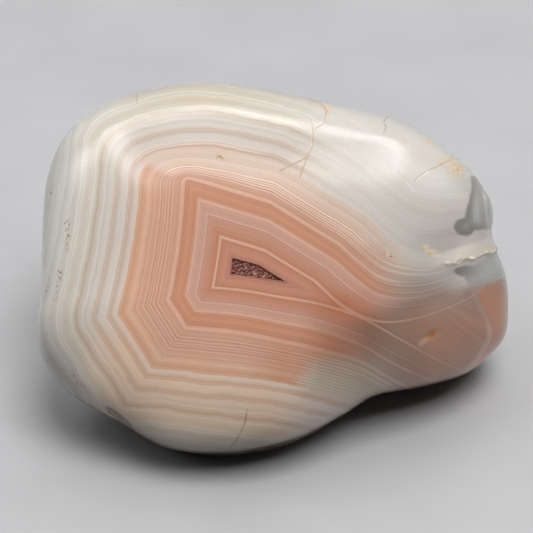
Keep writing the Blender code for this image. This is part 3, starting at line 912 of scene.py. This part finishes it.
def add_marks(at):
    """Rusty blots, brown specks, the two pits, the white hair, the cracks and the pocket."""
    place = at.place
    rust, specks, ochre = at.parts("blemishes")
    rusty = place.noise(1300, 4, 0.65)
    dark_rust = place.noise(3000, 3, 0.6).spread(0.52, 0.68)
    rust_tone = dark_rust.between(tone(219, 198, 166), tone(180, 142, 96))
    at.paint((rust + rusty.swing(0.4)).spread(0.15, 1, 0, 0.9), rust_tone)
    speck_share = specks.spread(0.6, 0.15) * place.noise(3800, 3, 0.6).spread(0.54, 0.62)
    speck_tone = place.noise(900).spread(0.4, 0.6).between(tone(120, 92, 60), tone(170, 134, 84))
    at.paint(speck_share, speck_tone)

    at.paint((ochre + rusty.swing(0.15)).spread(0.08, 0.26), tone(150, 100, 52))
    brown = (-ochre).spread(0.1, 0.3)
    at.paint(brown * 0.8, tone(116, 88, 54))
    lumps = place.noise(2100, 3, 0.65).spread(0.58, 0.46, 0, 0.95)
    at.paint(brown * lumps, tone(72, 48, 26))
    at.paint(at.pale_rim.spread(0.6, 0.15, 0, 0.35), tone(198, 168, 152))
    at.paint(at.white_hair.spread(0.1, 0.03, 0, 0.3), tone(240, 238, 234))

    crack_share = at.crack.spread(0.03, 0.12, 0.7, 0) * place.noise(500).spread(0.35, 0.55, 0.35, 1)
    crack_tone = at.y.spread(-12, 0).between(tone(112, 92, 66), tone(182, 151, 114))
    at.paint(crack_share, crack_tone)
    at.paint(at.pocket.spread(-0.3, -0.02, 0, 0.45), tone(142, 98, 88))
    at.paint(at.pocket.spread(0, POCKET_WALL), tone(168, 118, 104))


def set_skin(at):
    """Polish, a little duller on the grey, with a faint grain that follows the fine bands."""
    at.surface["IOR"].default_value = QUARTZ_IOR
    rough = at.place.noise(260, 4).spread(0.3, 0.7, 0.11, 0.19)
    put(at.surface["Roughness"], rough + at.grey_share * 0.05)
    grain = at.place.noise(2600) + at.place.noise(6500, 1)
    relief = {"Height": grain * 0.4 + at.fine * 0.5, "Strength": 0.2, "Distance": 0.0001}
    put(at.surface["Normal"], grain.fed("ShaderNodeBump", relief))


def agate_finish():
    """The stone's material. What it reads at each point, such as x or level, is kept under that name."""
    at = Finish("banded_agate")
    at.x, at.y, at.ahead = at.parts("pattern_place")
    at.low_front, at.nose, at.calm = at.parts("regions")
    at.valley, at.outer_a, at.outer_b = at.parts("bands_far")
    at.back, at.crack, at.pocket = at.parts("marks")
    at.white_hair, at.pale_rim, at.facing = at.parts("pale_marks")
    at.height = at.place.split()[2]
    at.nose_share = at.nose * at.valley.spread(2.4, 0.6)
    steps = [find_level, find_stain, add_bands, add_lines, add_comb, add_threads, add_tints]
    for step in steps + [add_fine_bands, add_patches, add_marks, set_skin]:
        step(at)
    put(at.surface["Base Color"], at.colour)
    return at.material


def crystal_finish():
    finish = Finish("druzy_quartz")
    shade = finish.parts("crystal_tone_and_glint")[0]
    # Each crystal has a random tone; the rare palest ones also stand in for glints, a painted highlight.
    colour = shade.ramp([(0, 136, 95, 86), (0.6, 152, 111, 101), (1, 200, 164, 151)])
    change = finish.place.noise(4000).spread(0.3, 0.7, 0.75, 1.15)
    put(finish.surface["Base Color"], colour.scaled(change))
    # The crystals glow faintly, a painted light that stands in for light the stone carries round the pocket;
    # it lifts their darkest corners.
    finish.surface["Emission Color"].default_value = tone(150, 92, 76)
    finish.surface["Emission Strength"].default_value = 0.09
    finish.surface["IOR"].default_value = QUARTZ_IOR
    put(finish.surface["Roughness"], shade.spread(0, 1, 0.34, 0.12))
    return finish.material


# ---- crystals in the pocket
# They stand on a grid of staggered rows, each moved, sized, leaned and turned at random.
CRYSTAL_SPACING = 0.17
CRYSTAL_SHIFT = 0.35
ROW_SPACING = CRYSTAL_SPACING * 0.87
GRID_ACROSS = (-3.6, 2)
GRID_UP = (-1.6, 1)
CRYSTAL_RADII = (0.07, 0.15)
CRYSTAL_TIPS = (0.1, 0.5)
CRYSTAL_ROOT_DEPTH = 0.8
CRYSTAL_TILT = 0.25
CRYSTAL_SEED = 7
SHADE_POWER = 2.2
TIP_SLOPE = 1.15
# Near the pocket's wall the crystals lie deeper, lean less and are thinner.
WALL_MARGIN = 0.1
WALL_TIP_DEPTH = 0.35
WALL_TIP_RISE = 0.8
WALL_TILT_REACH = 0.35
WALL_RADIUS_REACH = 0.14
# The bed they stand on: its share of the pocket's shape, and the depths of its foot and top.
BED_SHARE = 0.97
BED_DEPTHS = (1.25, 0.6)


def face_height(u, v):
    """Height of the face above the face plane at one place near its middle, before the pocket is cut."""
    edge = np.interp(math.atan2(v, u), OUTLINE_ANGLES, OUTLINE_RADII, period=2 * math.pi)
    part = 1 - (math.hypot(u, v) / edge) ** FRONT_SQUARENESS
    swell = swelling_relief(u, v, FRONT_SWELLINGS)
    return FRONT_DEPTH * part ** (1 / FRONT_SQUARENESS) + swell + bend_back(u, v)


def side_faces(count):
    """The faces between two rings of corners, the second ring numbered after the first."""
    return [(k, (k + 1) % count, count + (k + 1) % count, count + k) for k in range(count)]


def crystal(u, v, base, tip, radius, tilt, turn):
    """A six-sided quartz point: its corners and faces."""
    angles = turn + np.arange(6) * math.pi / 3
    ring = np.stack([np.cos(angles) * radius, np.sin(angles) * radius], axis=1)
    shoulder = tip - TIP_SLOPE * radius
    lean_u, lean_v = tilt
    rise = shoulder - base
    corners = [[u + a, v + b, base] for a, b in ring]
    corners += [[u + a + lean_u * rise, v + b + lean_v * rise, shoulder] for a, b in ring]
    corners.append([u + lean_u * (tip - base), v + lean_v * (tip - base), tip])
    point = [(6 + k, 6 + (k + 1) % 6, 12) for k in range(6)]
    return corners, [tuple(range(5, -1, -1))] + side_faces(6) + point


def crystal_bed():
    """The block that the crystals stand on: its corners and faces."""
    middle = np.mean(POCKET_CORNERS, axis=0)
    ring = middle + (np.array(POCKET_CORNERS) - middle) * BED_SHARE
    corners = [[u, v, face_height(u, v) - depth] for depth in BED_DEPTHS for u, v in ring]
    count = len(ring)
    ends = [tuple(range(count - 1, -1, -1)), tuple(range(count, 2 * count))]
    return corners, ends + side_faces(count)


def make_crystals():
    draw = np.random.default_rng(CRYSTAL_SEED)
    corners, faces, shades = [], [], []

    def add_shape(shape, shade):
        start = len(corners)
        corners.extend(shape[0])
        faces.extend(tuple(start + k for k in face) for face in shape[1])
        shades.extend([shade] * len(shape[0]))

    for row, row_v in enumerate(np.arange(*GRID_UP, ROW_SPACING)):
        for column_u in np.arange(*GRID_ACROSS, CRYSTAL_SPACING) + (row % 2) * 0.5 * CRYSTAL_SPACING:
            shift_u, shift_v = draw.uniform(-CRYSTAL_SHIFT, CRYSTAL_SHIFT, 2) * CRYSTAL_SPACING
            radius = draw.uniform(*CRYSTAL_RADII)
            tip_depth = draw.uniform(*CRYSTAL_TIPS)
            tilt = draw.normal(0, CRYSTAL_TILT, 2)
            turn = draw.uniform(0, math.pi / 3)
            # Random tone, mostly dark; the rare pale crystals are partly painted glints.
            shade = draw.uniform(0, 1) ** SHADE_POWER
            u, v = column_u + shift_u, row_v + shift_v
            inside = distance_inside(u, v, POCKET_CORNERS)
            if inside < WALL_MARGIN:
                continue
            top = face_height(u, v)
            tip = top - max(tip_depth, WALL_TIP_DEPTH - WALL_TIP_RISE * inside)
            tilt = tilt * min(1, inside / WALL_TILT_REACH)
            radius *= min(1, inside / WALL_RADIUS_REACH)
            add_shape(crystal(u, v, top - CRYSTAL_ROOT_DEPTH, tip, radius, tilt, turn), shade)
    add_shape(crystal_bed(), 0)

    mesh = bpy.data.meshes.new("druzy_crystals")
    mesh.from_pydata(to_world(corners).tolist(), [], faces)
    mesh.update()
    set_vectors(mesh, "crystal_tone_and_glint", [np.array(shades)] * 3)
    bm = bmesh.new()
    bm.from_mesh(mesh)
    bmesh.ops.recalc_face_normals(bm, faces=bm.faces)
    bm.to_mesh(mesh)
    bm.free()
    return add_object(mesh)


# ---- studio
CAMERA_TARGET = Vector((-0.001, 0.00013, 0.0179))
CAMERA_DISTANCE = 0.32
CAMERA_LENS = 216.1
CAMERA_SENSOR = 36
CAMERA_CLIP_START = 0.01
FLOOR_REACH = 3
WORLD_STRENGTH = 0.03

# Soft lights: name, azimuth, elevation, distance, side length and radiance. They leave no highlights.
KEY_LIGHTS = [
    ("front_key", 19, 60, 2.4, 1.05, 15.3),
    ("top_key", 180, 80, 2.4, 2.7, 1.3),
    ("left_key", 290, 50, 2.4, 1.4, 1.6),
]
# Panels that only show as reflections: name, azimuth, elevation, distance, width, height, radiance, and how
# far each edge fades (left, right, front, back) as a share of the panel.
SHINE_PANELS = [
    ("left_shine", 262, 32, 0.6, 0.36, 0.42, 4, (0.45, 0.45, 0.4, 0.4)),
    ("right_shine", 85, 18, 0.7, 0.7, 0.6, 1.6, (0.4,) * 4),
    ("back_shine", 180, 20, 1, 3, 1.3, 0.65, (0.3,) * 4),
    ("left_wall_shine", 270, 40, 1.2, 2.2, 1.2, 0.5, (0.4,) * 4),
    ("right_wall_shine", 90, 15, 1.2, 2.2, 1.5, 0.35, (0.4,) * 4),
]
PLAIN_EDGES = [(0, 0.2)] * 4
# The panel overhead is brighter along its edges, which draws the outlined highlight along the stone's top.
OVERHEAD_TURN = math.radians(6)
OVERHEAD_SHIFT = (0.105, -0.036)
OVERHEAD_MIDDLE = 0.5
OVERHEAD_EDGES = [(24, 0.09), (6, 0.36), (6, 0.1), (19, 0.15)]
OVERHEAD_FEATHERS = (0.03, 0.08, 0.05, 0.03)


def pointing(direction):
    """Turns a camera or light to look along a direction."""
    return Vector(direction).to_track_quat("-Z", "Y").to_euler()


def make_camera():
    back = Vector((0, -math.cos(FACE_LEAN), math.sin(FACE_LEAN)))
    data = bpy.data.cameras.new("studio_camera")
    data.lens = CAMERA_LENS
    data.sensor_width = CAMERA_SENSOR
    data.clip_start = CAMERA_CLIP_START
    camera = add_object(data)
    camera.location = CAMERA_TARGET + back * CAMERA_DISTANCE
    camera.rotation_euler = pointing(-back)
    bpy.context.scene.camera = camera


def make_panel(name, azimuth, elevation, distance, width, height, radiance, shines):
    """A rectangular light that faces the stone and either shines in it or lights it. Azimuth grows from the
    front toward the right."""
    az, el = math.radians(azimuth), math.radians(elevation)
    toward = Vector((math.sin(az) * math.cos(el), -math.cos(az) * math.cos(el), math.sin(el)))
    data = bpy.data.lights.new(name, "AREA")
    data.shape = "RECTANGLE"
    data.size = width
    data.size_y = height
    data.energy = radiance * math.pi * width * height
    light = add_object(data)
    light.location = CAMERA_TARGET + toward * distance
    light.rotation_euler = pointing(-toward)
    light.visible_diffuse = not shines
    light.visible_glossy = shines
    light.visible_camera = False
    return light


def frame_panel(light, middle, edges, feathers):
    """Shades a panel from its middle's strength to its edges: (gain, width) at left, right, front, back."""
    light.data.use_nodes = True
    tree = light.data.node_tree
    across, along, _ = Value(add_node(tree, "ShaderNodeNewGeometry").outputs["Parametric"]).split()
    sides = (across, 0), (across, 1), (along, 0), (along, 1)
    glow = fade = None
    for (place, end), (gain, width), feather in zip(sides, edges, feathers):
        near = place.spread(end, abs(end - width), gain, 0)
        soft = place.spread(end, abs(end - feather))
        glow = near if glow is None else glow + near
        fade = soft if fade is None else fade * soft
    put(tree.nodes["Emission"].inputs["Strength"], (glow + middle) * fade)


def make_lights():
    for *place, side, radiance in KEY_LIGHTS:
        make_panel(*place, side, side, radiance, shines=False)
    overhead = make_panel("overhead_shine", 0, 90, 0.62, 1.17, 0.78, 1, shines=True)
    overhead.rotation_euler = (0, 0, OVERHEAD_TURN)
    overhead.location.x += OVERHEAD_SHIFT[0]
    overhead.location.y += OVERHEAD_SHIFT[1]
    frame_panel(overhead, OVERHEAD_MIDDLE, OVERHEAD_EDGES, OVERHEAD_FEATHERS)
    for *place, radiance, feathers in SHINE_PANELS:
        frame_panel(make_panel(*place, 1, shines=True), radiance, PLAIN_EDGES, feathers)


def make_floor():
    mesh = bpy.data.meshes.new("studio_floor")
    corners = [(x * FLOOR_REACH, y * FLOOR_REACH, 0) for x, y in ((-1, -1), (1, -1), (1, 1), (-1, 1))]
    mesh.from_pydata(corners, [], [(0, 1, 2, 3)])
    floor = add_object(mesh)
    finish = Finish("studio_floor")
    cloud = finish.place.noise(60, 3).spread(0.3, 0.7, 0.97, 1.03).grey()
    put(finish.surface["Base Color"], mixed(finish.tree, 1, tone(181, 181, 183), cloud, "MULTIPLY"))
    finish.surface["Roughness"].default_value = 0.9
    finish.surface["Specular IOR Level"].default_value = 0
    mesh.materials.append(finish.material)


def make_world():
    world = bpy.data.worlds.new("studio_world")
    world.use_nodes = True
    shade = world.node_tree.nodes["Background"]
    shade.inputs["Color"].default_value = (1, 1, 1, 1)
    shade.inputs["Strength"].default_value = WORLD_STRENGTH
    bpy.context.scene.world = world


make_camera()
make_world()
make_floor()
make_lights()
bpy.context.scene.view_settings.view_transform = "Standard"

stone = make_stone()
stone.data.materials.append(agate_finish())
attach(stone, "root")
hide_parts("agate_stone")

crystals = make_crystals()
crystals.data.materials.append(crystal_finish())
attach(crystals, "root")
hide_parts("druzy_crust")
